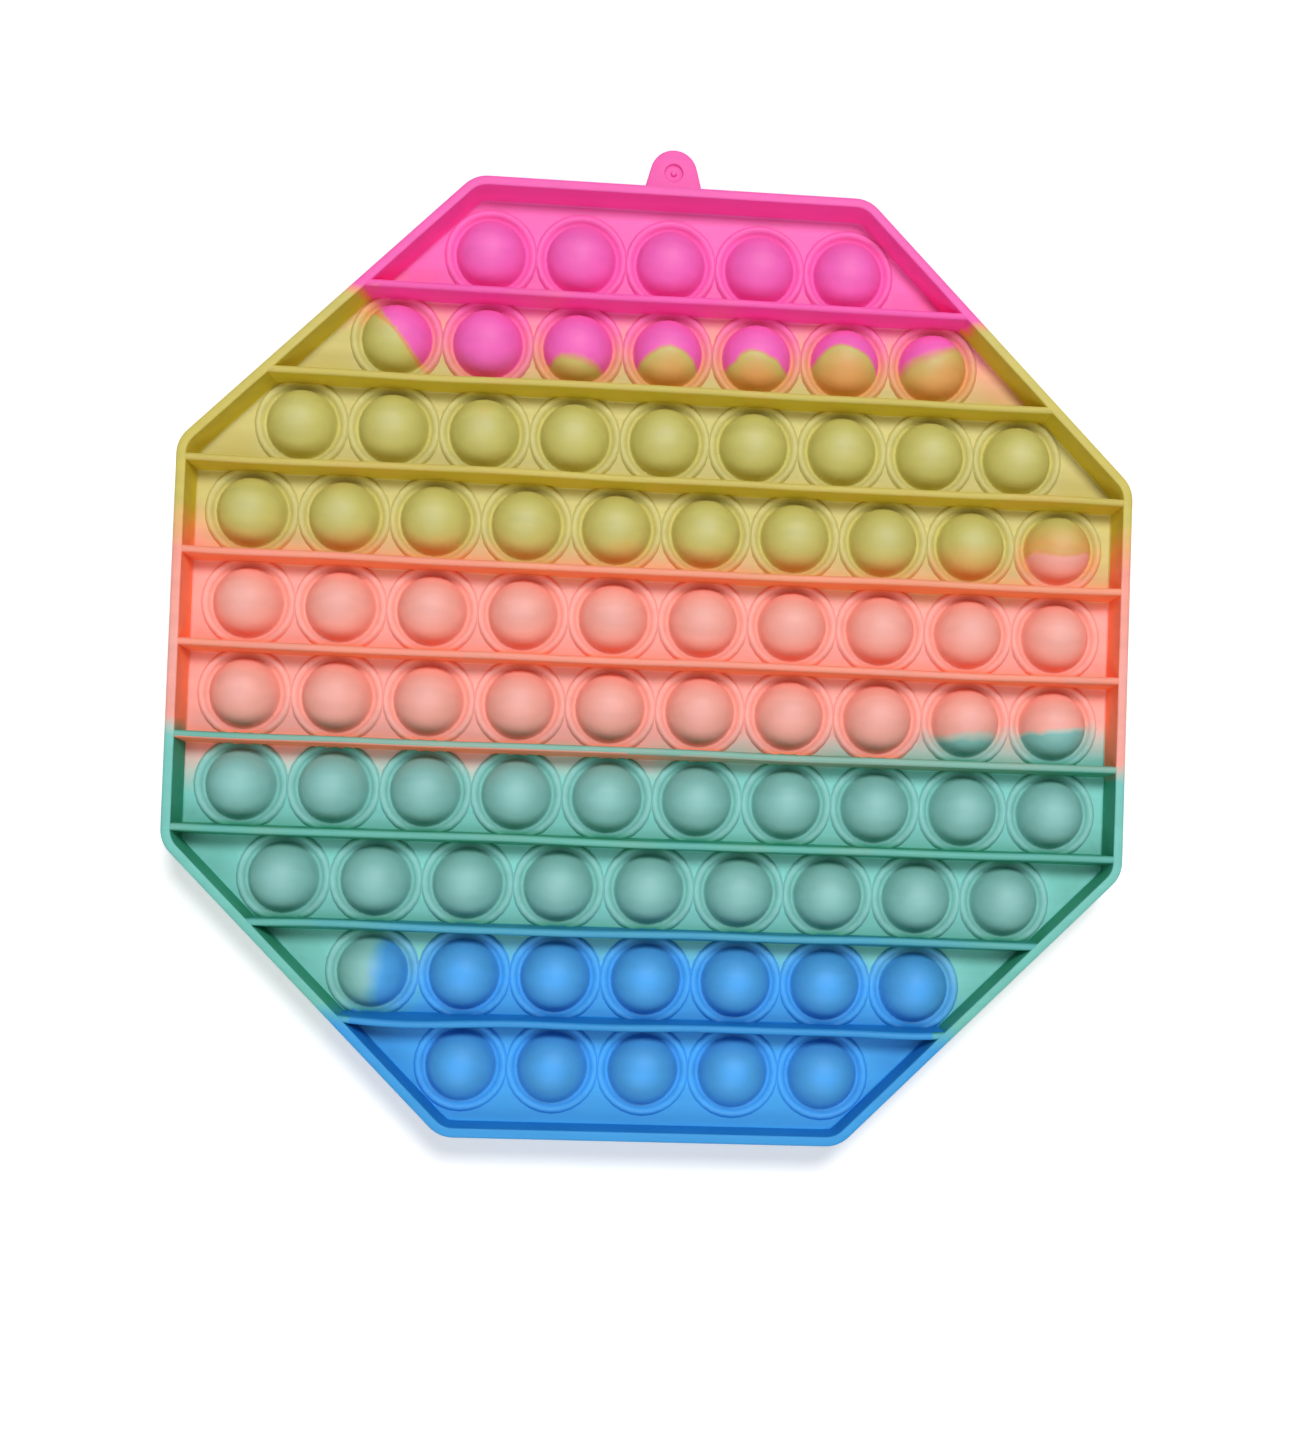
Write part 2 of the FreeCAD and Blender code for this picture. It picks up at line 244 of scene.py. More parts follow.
# Nine ribs part the rows on both faces. Each is thin and tall and was cooled from one side, so its free edges
# wave and lean a little, most of all in the last one. Their ends run into the rim. A ripple is given as its
# share of the wave, its radians per metre, and how far it shifts from one rib to the next.
RIB_TOP_WIDTH = 1.6
RIB_TOP = 7.44
RIB_DRAFT = math.tan(math.radians(2.5))
RIB_EDGE = 0.74
RIB_STATIONS = 36
RIB_WAVES = [0.10, 0.14, 0.16, 0.14, 0.12, 0.12, 0.14, 0.22, 0.42]
RIB_LEANS = [0.0, 0.0, 0.0, -0.32, -0.3, -0.08, -0.24, 0.0, -0.55]
RIB_RIPPLES = [(1.0, 52, 1.7), (0.6, 97, 2.9), (0.35, 163, 0.0)]

half_top = RIB_TOP_WIDTH / 2
rib_foot = half_top + (RIB_TOP - WALL_FOOT) * RIB_DRAFT
rib_quarter = [(0.0, RIB_TOP + 0.02)] + arc(half_top - RIB_EDGE, RIB_TOP - RIB_EDGE, RIB_EDGE, 90, 0, 3)
rib_quarter += [(rib_foot + outwards, height) for outwards, height in FOOT_FILLET]
rib_section = rib_quarter + [(across, -height) for across, height in reversed(rib_quarter)]
rib_section += [(-across, height) for across, height in reversed(rib_section[1:-1])]
rim_middle = HALF_ACROSS - RIM_TOP_WIDTH / 2


def rib_wave(rib, x, height):
    """How far the rib leans at this place, growing with the height above the web."""
    shape = sum(share * math.sin(rate * x / 1000 + shift * rib) for share, rate, shift in RIB_RIPPLES)
    lift = max(0.0, (abs(height) - HALF_WEB) / (HALF_THICKNESS - HALF_WEB))
    return (RIB_WAVES[rib] * shape + RIB_LEANS[rib]) * lift**1.4 * math.copysign(1, height)


points, faces = [], []
for rib in range(9):
    y = (4 - rib) * PITCH
    reach = min(rim_middle, math.sqrt(2) * rim_middle - abs(y))
    first = len(points)
    count = len(rib_section)
    for station in range(RIB_STATIONS + 1):
        x = reach * (2 * station / RIB_STATIONS - 1)
        fade = 1 - (x / reach) ** 8
        points += [
            (x, y + across + fade * rib_wave(rib, x, height), height) for across, height in rib_section
        ]
    for station in range(RIB_STATIONS):
        near = first + station * count
        for corner in range(count):
            ahead = (corner + 1) % count
            faces.append((near + ahead, near + corner, near + count + corner, near + count + ahead))
    faces.append(tuple(first + corner for corner in range(count)))
    faces.append(tuple(first + RIB_STATIONS * count + corner for corner in reversed(range(count))))
ribs = add_object("ribs", points, faces)

# The tab is a flat tongue at half the thickness, for hanging the mat up. Its end is round and its sides flare
# into the rim. A shallow round dimple with a pip in it marks where a hole may be pierced.
TAB_END_RADIUS = 5.0
TAB_CENTRE = 105.53
TAB_FLARE = math.radians(15)
TAB_FILLET = 3.0
HALF_TAB = 1.2
TAB_EDGE = 0.45
DIMPLE_RADIUS = 1.9
DIMPLE_DEPTH = 0.6
PIP_RADIUS = 0.6

side_normal = Vector((math.cos(TAB_FLARE), math.sin(TAB_FLARE)))
fillet_x = (
    TAB_FILLET + TAB_END_RADIUS + (TAB_CENTRE - HALF_ACROSS - TAB_FILLET) * side_normal.y
) / side_normal.x
right_half = [(fillet_x, rim_middle)]
right_half += arc(fillet_x, HALF_ACROSS + TAB_FILLET, TAB_FILLET, 270, 195, 7)
right_half += arc(0, TAB_CENTRE, TAB_END_RADIUS, 15, 90, 10)
tab_outline = right_half + [(-x, y) for x, y in reversed(right_half[:-1])]


def moved_inwards(loop, distance):
    """Each corner of an anticlockwise loop, moved along the mean of its two side normals."""
    moved = []
    for before, here, after in zip(loop[-1:] + loop[:-1], loop, loop[1:] + loop[:1]):
        ahead = (Vector(after) - Vector(here)).normalized() + (Vector(here) - Vector(before)).normalized()
        inward = Vector((-ahead.y, ahead.x)).normalized()
        moved.append(tuple(Vector(here) + inward * distance))
    return moved


rounding = [
    (TAB_EDGE * (1 - math.cos(turn)), HALF_TAB - TAB_EDGE * (1 - math.sin(turn)))
    for turn in (0, 0.5, 1.05, math.pi / 2)
]
tab_levels = [(inset, -height) for inset, height in reversed(rounding)] + rounding
points = []
for inset, height in tab_levels:
    points += [(x, y, height) for x, y in moved_inwards(tab_outline, inset)]
count = len(tab_outline)
faces = [
    (
        level * count + i, level * count + (i + 1) % count,
        (level + 1) * count + (i + 1) % count, (level + 1) * count + i,
    )
    for level in range(len(tab_levels) - 1)
    for i in range(count)
]
dimple_floor = HALF_TAB - DIMPLE_DEPTH
dimple = [
    (DIMPLE_RADIUS + 0.15, HALF_TAB), (DIMPLE_RADIUS, HALF_TAB - 0.15),
    (DIMPLE_RADIUS - 0.05, dimple_floor + 0.1), (DIMPLE_RADIUS - 0.2, dimple_floor),
    (PIP_RADIUS + 0.15, dimple_floor), (PIP_RADIUS, dimple_floor + 0.15),
    (PIP_RADIUS - 0.05, HALF_TAB - 0.12), (PIP_RADIUS - 0.2, HALF_TAB),
]
mark = circle(0, TAB_CENTRE, dimple[0][0], BUBBLE_SIDES)
inner_outline = moved_inwards(tab_outline, TAB_EDGE)
for height, holes in ((-HALF_TAB, []), (HALF_TAB, [mark])):
    level = 0 if height < 0 else (len(tab_levels) - 1) * count
    flat_points, triangles = flat_fill(inner_outline, holes)
    extra = len(points) - count
    points += [(x, y, height) for x, y in flat_points[count:]]
    for triangle in triangles:
        face = tuple(level + i if i < count else extra + i for i in triangle)
        faces.append(face if height > 0 else tuple(reversed(face)))
ring = list(range(len(points) - BUBBLE_SIDES, len(points)))
for radius, height in dimple[1:]:
    following = list(range(len(points), len(points) + BUBBLE_SIDES))
    points += [(x, y, height) for x, y in circle(0, TAB_CENTRE, radius, BUBBLE_SIDES)]
    for side in range(BUBBLE_SIDES):
        ahead = (side + 1) % BUBBLE_SIDES
        faces.append((ring[side], ring[ahead], following[ahead], following[side]))
    ring = following
points.append((0, TAB_CENTRE, HALF_TAB))
faces += [(ring[side], ring[(side + 1) % BUBBLE_SIDES], len(points) - 1) for side in range(BUBBLE_SIDES)]
tab = add_object("tab", points, faces)

# All of it is one moulding, so the pieces are merged into one closed skin. It is shaded smooth, apart from the
# edges that fold by more than the sharp angle.
SHARP_ANGLE = math.radians(38)
for part in (rim, ribs, tab):
    merge = moulding.modifiers.new("merge", "BOOLEAN")
    merge.operation = "UNION"
    merge.solver = "MANIFOLD"
    merge.object = part
bpy.context.view_layer.update()
merged = bpy.data.meshes.new_from_object(moulding.evaluated_get(bpy.context.evaluated_depsgraph_get()))
moulding.modifiers.clear()
moulding.data = merged
for part in (rim, ribs, tab):
    bpy.data.objects.remove(part)
merged.transform(Matrix.Scale(0.001, 4) @ Matrix.Translation((0, 0, HALF_THICKNESS)))
merged.shade_smooth()
merged.set_sharp_from_angle(angle=SHARP_ANGLE)
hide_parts("bubble_mat")
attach(moulding, "root")


# The rubber went into the mould as five strips side by side: pink, yellow, peach, mint and blue. Where two of
# them met they ran into each other, widely in the web and within a millimetre or two in the thin domes. Every
# corner of every face carries the strip that it lies in, as a number from 0 to 4 that grows by one over 20 mm
# at each border, and how soft the border is, in millimetres to each side. A border is a line of x and y.
STRIP_SLOPE = 20.0
web_borders = [
    [(-66, 76), (-50, 69), (-30, 66.5), (0, 68.5), (60, 68.5), (80, 64)],
    [(-98, 26), (-88, 22), (-40, 20.5), (98, 20.5)],
    [(-98, -26), (-60, -23), (0, -20.5), (60, -15.5), (98, -13)],
    [(-80, -80), (-55, -76), (-40, -63.5), (0, -62.5), (45, -63.5), (58, -73), (80, -76)],
]
web_softness = [9.0, 5.0, 4.5, 6.0]
rim_borders = [
    [(-60, 74.5), (60, 74.5)],
    [(-98, 24), (98, 28)],
    [(-98, -17.5), (98, -20)],
    [(-60, -76), (60, -76)],
]
rim_softness = [1.0, 5.0, 2.0, 3.0]
rib_strips = [
    [(0, 0.0)],
    [(0, 1.0)],
    [(0, 1.0)],
    [(-95, 2.0), (0, 1.85)],
    [(0, 2.0)],
    [(-95, 2.95), (-60, 2.75), (90, 2.8)],
    [(0, 3.0)],
    [(-70, 3.1), (-45, 3.5), (0, 3.62), (45, 3.5), (70, 3.15)],
    [(0, 4.0)],
]
row_strips = [0, 0, 1, 1, 2, 2, 3, 3, 4, 4]

# Some domes lie across a border, given by their row and column: the strip on its upper side, the direction of
# that side in degrees, its distance from the dome's middle, its bend, its softness, and over how many
# millimetres the number grows by one.
dome_borders = {(3, column): (1, 90, -12.0, 0.0, 1.5, STRIP_SLOPE) for column in range(8)}
dome_borders.update({
    (1, 0): (0, 41, 0.5, 0.0, 9.0, 1.0),
    (1, 2): (0, 90, -3.2, 0.025, 0.6, STRIP_SLOPE),
    (1, 3): (0, 90, -0.7, 0.085, 0.6, STRIP_SLOPE),
    (1, 4): (0, 90, 0.3, 0.085, 0.6, STRIP_SLOPE),
    (1, 5): (0, 90, 1.2, 0.07, 0.6, STRIP_SLOPE),
    (1, 6): (0, 112, 0.8, 0.0, 1.4, STRIP_SLOPE),
    (3, 8): (1, 90, -8.2, 0.0, 1.5, STRIP_SLOPE),
    (3, 9): (1, 90, -1.9, 0.0, 0.8, STRIP_SLOPE),
    (5, 8): (2, 97, -3.3, 0.0, 1.2, STRIP_SLOPE),
    (5, 9): (2, 90, -1.1, 0.0, 0.7, STRIP_SLOPE),
    (8, 0): (3, 166, -1.5, 0.0, 1.8, STRIP_SLOPE),
})

# What each face belongs to follows from how far its middle is from a bubble's axis, a rib's line or the rim.
DOME_FOOT = 7.3
LEDGE_RADIUS = 8.2
PAST_LAST_RIB = 80
RIM_REACH = 2.9
INNER_WALL_REACH = 1.9
SLACK = 0.05


def strip_number(x, y, borders):
    """The strip that each place lies in, from how far it is past every border."""
    total = np.zeros(len(x))
    for border in borders:
        border_y = np.interp(x, [place[0] for place in border], [place[1] for place in border])
        total += np.clip((border_y - y) / STRIP_SLOPE + 0.5, 0, 1)
    return total


corner_count = len(merged.loops)
corner_vertex = np.empty(corner_count, np.int32)
merged.loops.foreach_get("vertex_index", corner_vertex)
vertex_places = np.empty(3 * len(merged.vertices), np.float32)
merged.vertices.foreach_get("co", vertex_places)
x, y, z = vertex_places.reshape(-1, 3)[corner_vertex].T * 1000
z = z - HALF_THICKNESS
face_start = np.empty(len(merged.polygons), np.int32)
merged.polygons.foreach_get("loop_start", face_start)
face_corners = np.diff(np.append(face_start, corner_count))
middle_x, middle_y, middle_z = (
    np.repeat(np.add.reduceat(values, face_start) / face_corners, face_corners) for values in (x, y, z)
)
bubble_x = np.array([centre[2] for centre in bubble_centres])
bubble_y = np.array([centre[3] for centre in bubble_centres])
nearest = np.empty(corner_count, np.int32)
from_bubble = np.full(corner_count, np.inf)
for bubble in range(len(bubble_centres)):
    distance = np.hypot(middle_x - bubble_x[bubble], middle_y - bubble_y[bubble])
    closer = distance < from_bubble
    nearest[closer] = bubble
    from_bubble[closer] = distance[closer]
diagonals = np.abs(middle_x + middle_y), np.abs(middle_x - middle_y)
from_middle = np.maximum(np.abs(middle_x), np.abs(middle_y))
from_middle = np.maximum(np.maximum(*diagonals) / math.sqrt(2), from_middle)

web_strip = strip_number(x, y, web_borders)
dome_strip = np.array([row_strips[row] for row, _, _, _ in bubble_centres], float)[nearest]
dome_softness = np.full(corner_count, 1.0)
for bubble, (row, column, _, _) in enumerate(bubble_centres):
    if (row, column) in dome_borders:
        upper_strip, direction, distance, bend, softness, strip_width = dome_borders[row, column]
        here = nearest == bubble
        upwards = Vector((math.cos(math.radians(direction)), math.sin(math.radians(direction))))
        away_x = x[here] - bubble_x[bubble]
        away_y = y[here] - bubble_y[bubble]
        sideways = away_x * upwards.y - away_y * upwards.x
        beyond = away_x * upwards.x + away_y * upwards.y - distance + bend * sideways**2
        dome_strip[here] = upper_strip + np.clip(0.5 - beyond / strip_width, 0.02, 0.98)
        dome_softness[here] = softness

in_dome = from_bubble < DOME_FOOT
from_rib_line = middle_y - PITCH * np.round(middle_y / PITCH)
rib_reach = np.interp(np.abs(middle_z), [BEAD_TOP, BEAD_TOP + 0.1, 3.5, 5], [1.2, 2.0, 2.0, 2.8])
in_rib = ~in_dome & (np.abs(from_rib_line) < rib_reach)
in_rib &= (np.abs(middle_z) > HALF_WEB + SLACK) & (np.abs(middle_y) < PAST_LAST_RIB)
in_bead = ~in_dome & ~in_rib & (from_bubble < FOOT_RADIUS) & (np.abs(middle_z) < BEAD_TOP + SLACK)
strip = np.where(in_dome, dome_strip, np.where(in_bead, (dome_strip + web_strip) / 2, web_strip))
softness = np.where(in_dome, dome_softness, np.interp(-y, [-68, -21, 20, 64], web_softness))
for rib, strips in enumerate(rib_strips):
    here = in_rib & (np.abs(middle_y - (4 - rib) * PITCH) < 3)
    strip[here] = np.interp(x[here], [place[0] for place in strips], [place[1] for place in strips])
    softness[here] = STRIP_SLOPE / 2
    if rib == 5:
        lower_face = here & (from_rib_line < -0.5)
        strip[lower_face] = np.interp(x[lower_face], [-50, -10, 20, 90], [2.0, 2.12, 2.5, 2.95])
in_rim = from_middle > HALF_ACROSS - RIM_REACH
strip[in_rim] = strip_number(x[in_rim], y[in_rim], rim_borders)
softness[in_rim] = np.interp(-y[in_rim], [-76, -28, 20, 76], rim_softness)

# Shade is painted into the rubber's colour as a deeper, darker colour, where shade falls and where light
# reaches
# it through the rubber itself: on the sides of the ribs and of the rim, in the corners at their feet, on the
# web beside the ribs, and down the sides of the domes. A third number says how much painted shade there is, and
# a fourth says how much a place has the colours of the domes.
RIB_SIDE = 1.1
RIB_SHADE_WIDTH = 1.6
DOME_CROWN = 1.0
DOME_SHADE_WIDTH = 3.2
height = np.abs(z)
# Painted shade beside each rib, fading out over RIB_SHADE_WIDTH from the rib's side.
from_rib_side = np.abs(y - PITCH * np.round(y / PITCH)) - RIB_SIDE
shade_by_rib = np.clip(1 - from_rib_side / RIB_SHADE_WIDTH, 0, 1) * (np.abs(y) < PAST_LAST_RIB)
# Beads beside a rib get the full painted shade and the ledges round the domes a little; the web beside a rib
# gets half.
on_ledge = in_bead & (from_bubble < LEDGE_RADIUS)
painted_shade = np.where(in_bead, np.maximum(shade_by_rib, 0.35 * on_ledge), 0.5 * shade_by_rib)
# Down the sides of each dome the painted shade grows from its crown towards its foot.
from_axis = np.hypot(x - bubble_x[nearest], y - bubble_y[nearest])
painted_shade = np.where(in_dome, np.clip((from_axis - DOME_CROWN) / DOME_SHADE_WIDTH, 0, 1), painted_shade)
# The sides of the ribs get full painted shade, their rounded tops less.
painted_shade = np.where(in_rib, np.interp(height, [6.7, 7.35], [1, 0.4]), painted_shade)
# The rim's inner wall gets painted shade up to its top edge, and all of the rim some more, none across its
# middle and most a little above it.
inner_wall = in_rim & (from_middle < HALF_ACROSS - INNER_WALL_REACH)
rim_painted_shade = np.interp(-y, [-76, -40, 0, 76], [0.3, 0.5, 0.0, 0.3])
painted_shade = np.where(in_rim, np.where(inner_wall, np.interp(height, [7.1, 7.45], [1, 0]), 0.0), painted_shade)
painted_shade = np.where(in_rim, np.maximum(painted_shade, rim_painted_shade), painted_shade)
# Beads take part of the domes' colours, less of them beside a rib, where the web's painted shade shows instead.
corner_values = {
    "strip": strip,
    "softness": softness,
    "dome": in_dome + 0.6 * in_bead * (1 - shade_by_rib),
    "painted_shade": painted_shade,
}
for name, values in corner_values.items():
    attribute = merged.attributes.new(name, "FLOAT", "CORNER")
    attribute.data.foreach_set("value", values.astype(np.float32))


def linear(hex_colour):
    """A colour written as sRGB hex, as the linear values that the renderer wants."""
    channels = [int(hex_colour[i:i + 2], 16) / 255 for i in (0, 2, 4)]
    return tuple(c / 12.92 if c <= 0.04045 else ((c + 0.055) / 1.055) ** 2.4 for c in channels) + (1.0,)


def add_node(material, kind, inputs={}, **settings):
    """A node with its settings. Each of its inputs is given a value, or the socket that feeds it."""
    node = material.node_tree.nodes.new(kind)
    for name, value in settings.items():
        setattr(node, name, value)
    for name, value in inputs.items():
        if isinstance(value, bpy.types.NodeSocket):
            material.node_tree.links.new(value, node.inputs[name])
        else:
            node.inputs[name].default_value = value
    return node


# Silicone rubber, moulded in a finely sparked steel mould: matte and dry to the touch, so its highlights are
# broad and dim, and light goes a little way into it, which warms its thin edges and the folds of its walls,
# where painted shade deepens its colour further.
silicone = bpy.data.materials.new("matte moulded silicone rubber")
silicone.use_nodes = True
silicone.node_tree.nodes.clear()
place = add_node(silicone, "ShaderNodeTexCoord").outputs["Object"]
strip_here = add_node(silicone, "ShaderNodeAttribute", attribute_name="strip").outputs["Fac"]
softness_here = add_node(silicone, "ShaderNodeAttribute", attribute_name="softness").outputs["Fac"]
dome_here = add_node(silicone, "ShaderNodeAttribute", attribute_name="dome").outputs["Fac"]
# How much painted shade each place has.
painted_shade_here = add_node(silicone, "ShaderNodeAttribute", attribute_name="painted_shade").outputs["Fac"]

# The borders wander by about 1.5 mm over each 14 mm, with smaller ripples about 4 mm long.
wander = add_node(silicone, "ShaderNodeTexNoise", {"Vector": place, "Scale": 1 / 0.014, "Detail": 1.0})
ripple = add_node(silicone, "ShaderNodeTexNoise", {"Vector": place, "Scale": 1 / 0.004, "Detail": 1.0})
small = add_node(
    silicone, "ShaderNodeMath", {0: ripple.outputs["Fac"], 1: 0.08, 2: -0.04}, operation="MULTIPLY_ADD"
).outputs[0]
large = add_node(
    silicone, "ShaderNodeMath", {0: wander.outputs["Fac"], 1: 0.3, 2: -0.15}, operation="MULTIPLY_ADD"
).outputs[0]
shift = add_node(silicone, "ShaderNodeMath", {0: small, 1: large}, operation="ADD").outputs[0]
wandered = add_node(silicone, "ShaderNodeMath", {0: strip_here, 1: shift}, operation="ADD").outputs[0]
whole = add_node(silicone, "ShaderNodeMath", {0: wandered}, operation="FLOOR").outputs[0]
past_whole = add_node(silicone, "ShaderNodeMath", {0: wandered}, operation="FRACT").outputs[0]
half_width = add_node(
    silicone, "ShaderNodeMath", {0: softness_here, 1: 1 / STRIP_SLOPE}, operation="MULTIPLY"
).outputs[0]
start = add_node(silicone, "ShaderNodeMath", {0: 0.5, 1: half_width}, operation="SUBTRACT").outputs[0]
end = add_node(silicone, "ShaderNodeMath", {0: 0.5, 1: half_width}, operation="ADD").outputs[0]
crossed = add_node(
    silicone, "ShaderNodeMapRange", {"Value": past_whole, "From Min": start, "From Max": end}
).outputs["Result"]
along = add_node(silicone, "ShaderNodeMath", {0: whole, 1: crossed}, operation="ADD").outputs[0]
along = add_node(silicone, "ShaderNodeMath", {0: along, 1: 0.25}, operation="MULTIPLY").outputs[0]
raw_along = add_node(silicone, "ShaderNodeMath", {0: wandered, 1: 0.25}, operation="MULTIPLY").outputs[0]

# The five colours with what lies between two of them: plain ones and darker ones with painted shade for the web
# and walls, then the same for the domes, whose plain ones carry a painted highlight of their crowns and whose
# darker ones are their shaded flanks. The thin domes are a little greyer, partly because light passes through
# them and partly from that painted highlight, and where pink or peach ran into their yellow they turn orange.
web_colours = ["F06AB8", "EEA88A", "CEC47A", "E6B888", "F4A89E", "BCC8BE", "7ECCC4", "5CB8D8", "42A8EA"]
shaded_wall_colours = ["FF4CAC", "F28A50", "CCB62A", "F29644", "FF8458", "8E9A7C", "2C9270", "22849A", "1478C4"]
dome_colours_with_painted_highlight = ["F26BBB", "DC9480", "CAC480", "E0A67C", "F2ADA3", "C0C4BC", "8EC5C1", "78B8E0", "4BAAF6"]
shaded_flank_colours = ["F266BE", "DC9A78", "C6C06A", "E2A86E", "F2A89A", "BEC2B4", "80BAB4", "60AEC8", "4A9EDC"]
ramps = []
for colours in (web_colours, shaded_wall_colours, dome_colours_with_painted_highlight, shaded_flank_colours):
    ramps.append(add_node(silicone, "ShaderNodeValToRGB", {"Fac": along}))
    elements = ramps[-1].color_ramp.elements
    elements[0].color = linear(colours[0])
    elements[-1].color = linear(colours[-1])
    for step in range(1, 8):
        elements.new(step / 8).color = linear(colours[step])
# The darker colours are mixed in where there is painted shade.
web_colour, dome_colour = [
    add_node(
        silicone, "ShaderNodeMix",
        {"Factor": painted_shade_here, 6: plain.outputs["Color"], 7: shaded_ramp.outputs["Color"]}, data_type="RGBA"
    ).outputs[2]
    for plain, shaded_ramp in (ramps[:2], ramps[2:])
]
orange_amounts = [
    (0.125, 0.0), (0.14, 0.3), (0.175, 0.85), (0.215, 1.0), (0.235, 0.0),
    (0.275, 0.0), (0.355, 0.8), (0.37, 0.6), (0.38, 0.0),
]
orange_ramp = add_node(silicone, "ShaderNodeValToRGB", {"Fac": raw_along})
elements = orange_ramp.color_ramp.elements
elements[0].position = orange_amounts[0][0]
elements[0].color = (0, 0, 0, 1)
elements[-1].position = orange_amounts[-1][0]
elements[-1].color = (0, 0, 0, 1)
for position, amount in orange_amounts[1:-1]:
    elements.new(position).color = (amount, amount, amount, 1)
orange_here = add_node(
    silicone, "ShaderNodeMath", {0: orange_ramp.outputs["Color"], 1: 0.7}, operation="MULTIPLY"
).outputs[0]
dome_colour = add_node(
    silicone, "ShaderNodeMix", {"Factor": orange_here, 6: dome_colour, 7: linear("EC8C50")}, data_type="RGBA"
).outputs[2]
colour = add_node(
    silicone, "ShaderNodeMix", {"Factor": dome_here, 6: web_colour, 7: dome_colour}, data_type="RGBA"
).outputs[2]

# Pigment drawn out along the strips as the mould closed: streaks some 30 mm long and 3 mm wide, very faint.
stretched = add_node(
    silicone, "ShaderNodeMapping", {"Vector": place, "Scale": (1 / 0.03, 1 / 0.003, 1 / 0.003)}
).outputs[0]
streaks = add_node(silicone, "ShaderNodeTexNoise", {"Vector": stretched, "Scale": 1.0, "Detail": 3.0})
streak_tone = add_node(
    silicone, "ShaderNodeMapRange",
    {"Value": streaks.outputs["Fac"], "From Min": 0.3, "From Max": 0.7, "To Min": 0.95, "To Max": 1.04}
).outputs["Result"]
colour = add_node(
    silicone, "ShaderNodeVectorMath", {0: colour, "Scale": streak_tone}, operation="SCALE"
).outputs[0]

# The sparked finish of the mould is a grain of about 0.3 mm, drawn at 0.5 mm so that it shows. Under it the
# surface is slightly uneven over 5 mm, as rubber is when it cools.
grain = add_node(silicone, "ShaderNodeTexNoise", {"Vector": place, "Scale": 1 / 0.0005, "Detail": 2.0})
uneven = add_node(silicone, "ShaderNodeTexNoise", {"Vector": place, "Scale": 1 / 0.005, "Detail": 1.0})
bump = add_node(
    silicone, "ShaderNodeBump",
    {"Height": uneven.outputs["Fac"], "Strength": 1.0, "Distance": 0.00012}
).outputs["Normal"]
bump = add_node(
    silicone, "ShaderNodeBump",
    {"Height": grain.outputs["Fac"], "Normal": bump, "Strength": 1.0, "Distance": 0.00002}
).outputs["Normal"]
roughness = add_node(
    silicone, "ShaderNodeMapRange",
    {"Value": grain.outputs["Fac"], "From Min": 0.3, "From Max": 0.7, "To Min": 0.52, "To Max": 0.62}
).outputs["Result"]
shader = add_node(silicone, "ShaderNodeBsdfPrincipled", {
    "Base Color": colour, "Roughness": roughness, "Normal": bump, "IOR": 1.41,
    "Subsurface Weight": 0.1, "Subsurface Radius": (1.0, 0.8, 0.7), "Subsurface Scale": 0.001,
    "Specular IOR Level": 0.5,
})
add_node(silicone, "ShaderNodeOutputMaterial", {"Surface": shader.outputs["BSDF"]})
moulding.data.materials.clear()
moulding.data.materials.append(silicone)

# The mat lies on plain white paper. To the camera alone the paper glows a little, so that it looks white and
# the mat gets no light from that.
floor_mesh = bpy.data.meshes.new("floor")
floor_mesh.from_pydata([(-3, -3, 0), (3, -3, 0), (3, 3, 0), (-3, 3, 0)], [], [(0, 1, 2, 3)])
floor = bpy.data.objects.new("floor", floor_mesh)
bpy.context.scene.collection.objects.link(floor)
paper = bpy.data.materials.new("white paper")
paper.use_nodes = True
paper.node_tree.nodes.clear()
sheet = add_node(paper, "ShaderNodeBsdfDiffuse", {"Color": linear("F4F4F4")}).outputs["BSDF"]
seen = add_node(paper, "ShaderNodeLightPath").outputs["Is Camera Ray"]
lift = add_node(paper, "ShaderNodeMath", {0: seen, 1: 0.25}, operation="MULTIPLY").outputs[0]
glow = add_node(paper, "ShaderNodeEmission", {"Strength": lift}).outputs["Emission"]
both = add_node(paper, "ShaderNodeAddShader", {0: sheet, 1: glow}).outputs["Shader"]
add_node(paper, "ShaderNodeOutputMaterial", {"Surface": both})
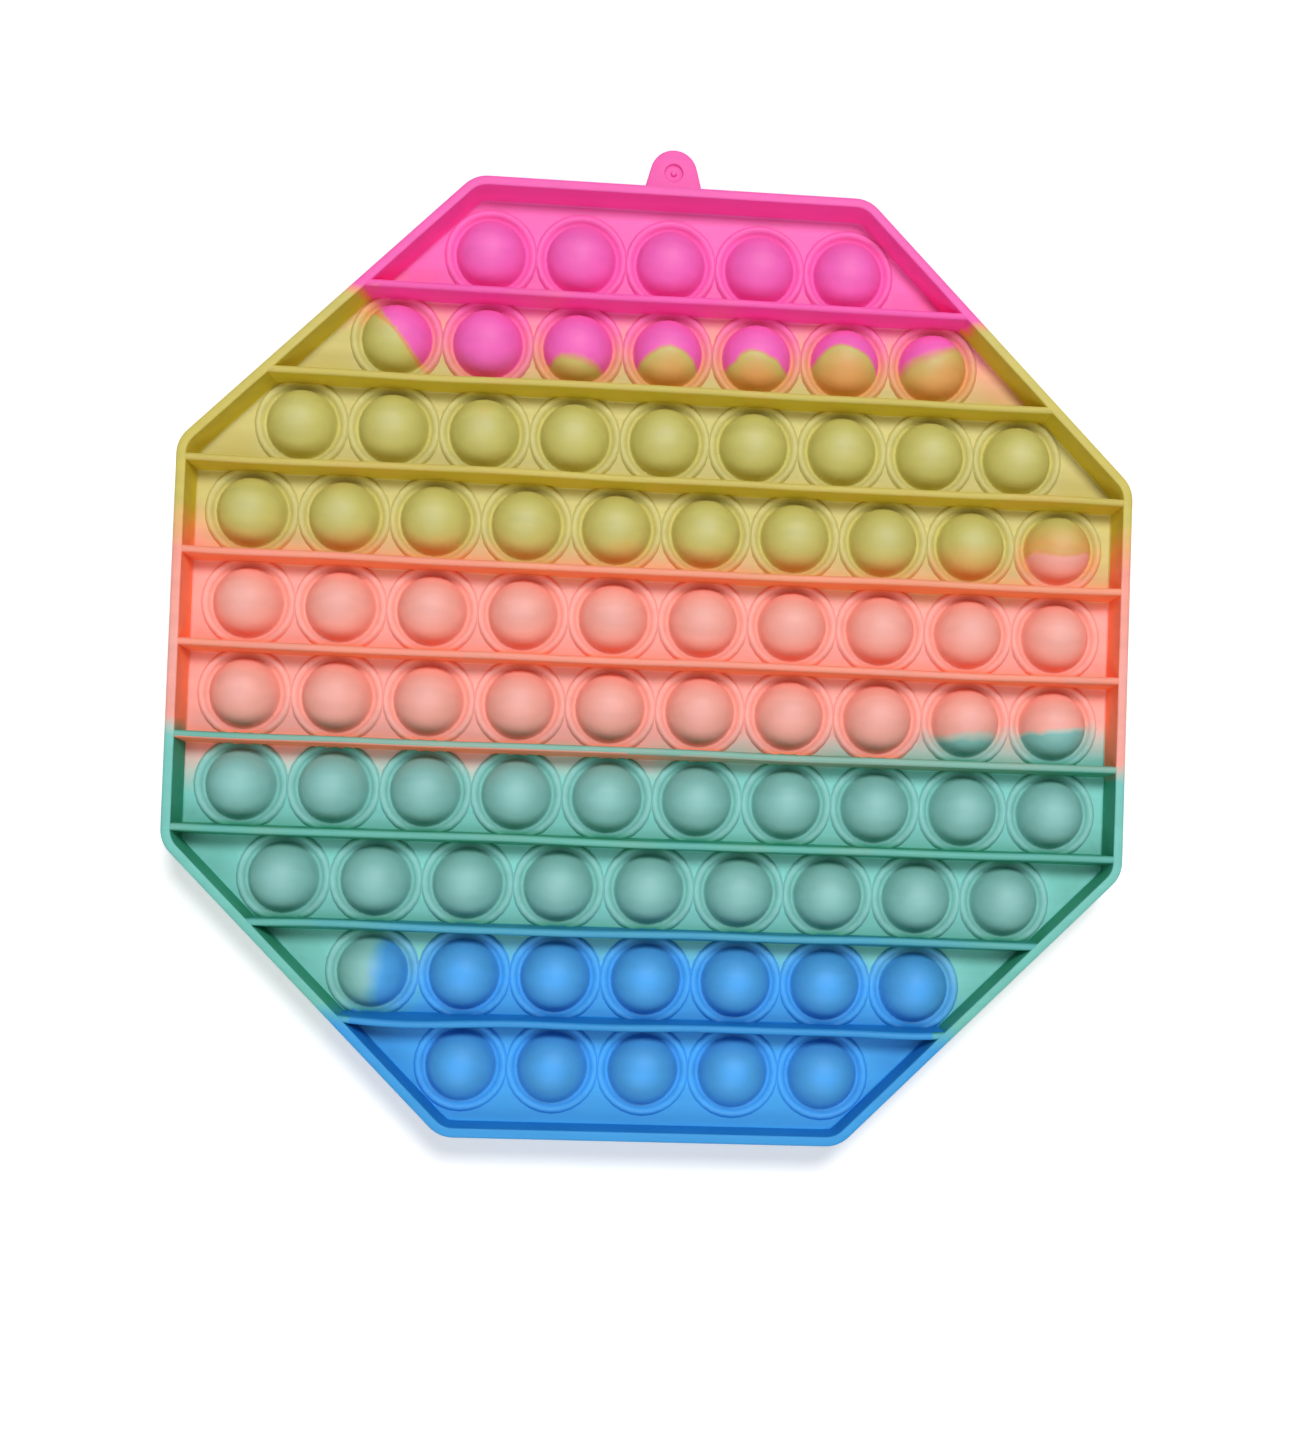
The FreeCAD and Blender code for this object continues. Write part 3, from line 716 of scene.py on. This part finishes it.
floor_mesh.materials.append(paper)

# Soft studio light: a lamp high over the tab's side, a wider and weaker one across from it, and pale light from
# all round.
for name, size, power, place in (
    ("key", 0.36, 7.9, (0.12, 0.42, 1.0)),
    ("fill", 0.7, 2.8, (-0.1, -0.6, 0.65)),
):
    lamp_data = bpy.data.lights.new(name, "AREA")
    lamp_data.shape = "DISK"
    lamp_data.size = size
    lamp_data.energy = power
    lamp = bpy.data.objects.new(name, lamp_data)
    bpy.context.scene.collection.objects.link(lamp)
    lamp.location = place
    lamp.rotation_mode = "QUATERNION"
    lamp.rotation_quaternion = lamp.location.to_track_quat("Z", "Y")
world = bpy.data.worlds.new("studio")
world.use_nodes = True
world.node_tree.nodes["Background"].inputs["Color"].default_value = (1, 1, 1, 1)
world.node_tree.nodes["Background"].inputs["Strength"].default_value = 0.22
bpy.context.scene.world = world

# The camera looks almost straight down from 34 cm, a little from the left, as the photograph was taken. The
# photograph's middle isn't on its lens's axis, so the lens is shifted.
PHOTO_WIDTH = 1300
PHOTO_HEIGHT = 1430
FOCAL_PIXELS = 1569
AXIS_ACROSS = 728
AXIS_DOWN = 851
camera_data = bpy.data.cameras.new("camera")
camera_data.sensor_width = 36
camera_data.lens = FOCAL_PIXELS * 36 / PHOTO_HEIGHT
camera_data.shift_x = (PHOTO_WIDTH / 2 - AXIS_ACROSS) / PHOTO_HEIGHT
camera_data.shift_y = (AXIS_DOWN - PHOTO_HEIGHT / 2) / PHOTO_HEIGHT
camera = bpy.data.objects.new("camera", camera_data)
bpy.context.scene.collection.objects.link(camera)
camera.location = (-0.0047, -0.0467, 0.3408)
back = Vector((-0.0637, -0.0235, 0.9977)).normalized()
right = Vector((math.cos(math.radians(2.03)), math.sin(math.radians(2.03)), 0))
right = (right - back * right.dot(back)).normalized()
axes = Matrix((right, back.cross(right), back)).transposed()
camera.matrix_world = Matrix.Translation(camera.location) @ axes.to_4x4()
bpy.context.scene.camera = camera
bpy.context.scene.view_settings.view_transform = "Standard"
